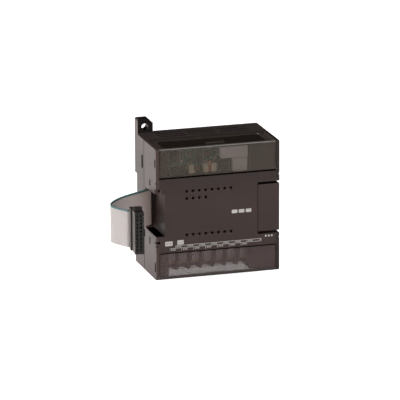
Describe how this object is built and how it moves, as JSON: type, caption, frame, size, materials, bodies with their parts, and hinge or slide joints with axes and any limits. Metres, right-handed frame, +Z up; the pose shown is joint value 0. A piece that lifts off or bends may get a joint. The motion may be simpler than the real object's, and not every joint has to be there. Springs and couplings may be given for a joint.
{
  "type": "plc expansion module",
  "caption": "Controller expansion module with hinged smoked covers, screw terminals, rail latch, lift-off connector lid and a short flat cable with its plug.",
  "frame": {"origin": "middle of the back face, half way between the two mounting holes", "axes": "+X to the right seen from the front, +Y towards the wall or rail behind the module, +Z up"},
  "size_m": [0.1199, 0.0884, 0.111],
  "materials": {
    "case_plastic": "fine spark-eroded texture, dark warm grey",
    "front_plastic": "fine spark-eroded texture, dark warm grey",
    "smoked_plastic": "clear smoked plastic, polished",
    "black_plastic": "moulded, satin",
    "circuit_board": "green solder mask over glass laminate",
    "dark_window": "tinted clear rods, unlit",
    "lamp_resin": "clear resin over a white base",
    "plated_steel": "bright nickel plate",
    "contact_metal": "tinned and gold-flashed brass",
    "pale_resin": "pale moulded cases",
    "beige_resin": "beige dipped resin",
    "orange_resin": "orange-brown dipped resin",
    "sleeve_plastic": "dark shrink sleeve",
    "chip_resin": "moulded epoxy",
    "ribbon_grey": "soft grey insulation",
    "ribbon_edge": "soft teal insulation",
    "plug_plastic": "moulded, satin",
    "printed_ink": "matt white printing ink"
  },
  "bodies": {
    "housing": {"rear_case": "case_plastic", "front_case": "front_plastic", "main_board": "circuit_board", "front_board": "circuit_board", "light_guides": "dark_window", "status_leds": "lamp_resin", "terminal_block": "black_plastic", "terminal_screws": "plated_steel", "terminal_washers": "plated_steel", "terminal_clamps": "contact_metal", "exp_header": "black_plastic", "exp_header_pins": "contact_metal", "board_link": "black_plastic", "board_link_pins": "contact_metal", "converter_modules": "pale_resin", "film_capacitors": "beige_resin", "orange_capacitors": "orange_resin", "electrolytic_capacitors": "sleeve_plastic", "ic_chips": "chip_resin", "board_screws": "plated_steel", "ribbon_socket": "black_plastic", "ribbon_cable": "ribbon_grey", "ribbon_edge_core": "ribbon_edge", "plug_body": "plug_plastic", "plug_cover": "plug_plastic", "plug_clamp": "plug_plastic", "plug_contacts": "contact_metal"},
    "upper_lid": {"top_cover": "smoked_plastic"},
    "lower_lid": {"bottom_cover": "smoked_plastic"},
    "connector_lid": {"exp_cover": "front_plastic"},
    "rail_latch": {"din_latch": "black_plastic"}
  },
  "joints": [
    {"name": "upper_lid_hinge", "type": "hinge", "parent": "housing", "child": "upper_lid", "pos_m": [0, -0.0261, 0.0426], "axis": [-1, 0, 0], "range_deg": [0, 90]},
    {"name": "lower_lid_hinge", "type": "hinge", "parent": "housing", "child": "lower_lid", "pos_m": [0, -0.0261, -0.0426], "axis": [1, 0, 0], "range_deg": [0, 90]},
    {"name": "connector_lid_slide", "type": "slide", "parent": "housing", "child": "connector_lid", "axis": [0, -1, 0], "range_m": [0, 0.02]},
    {"name": "rail_latch_slide", "type": "slide", "parent": "housing", "child": "rail_latch", "axis": [0, 0, -1], "range_m": [0, 0.004], "stiffness_N_per_m": 1500, "springref_m": -0.001}
  ]
}
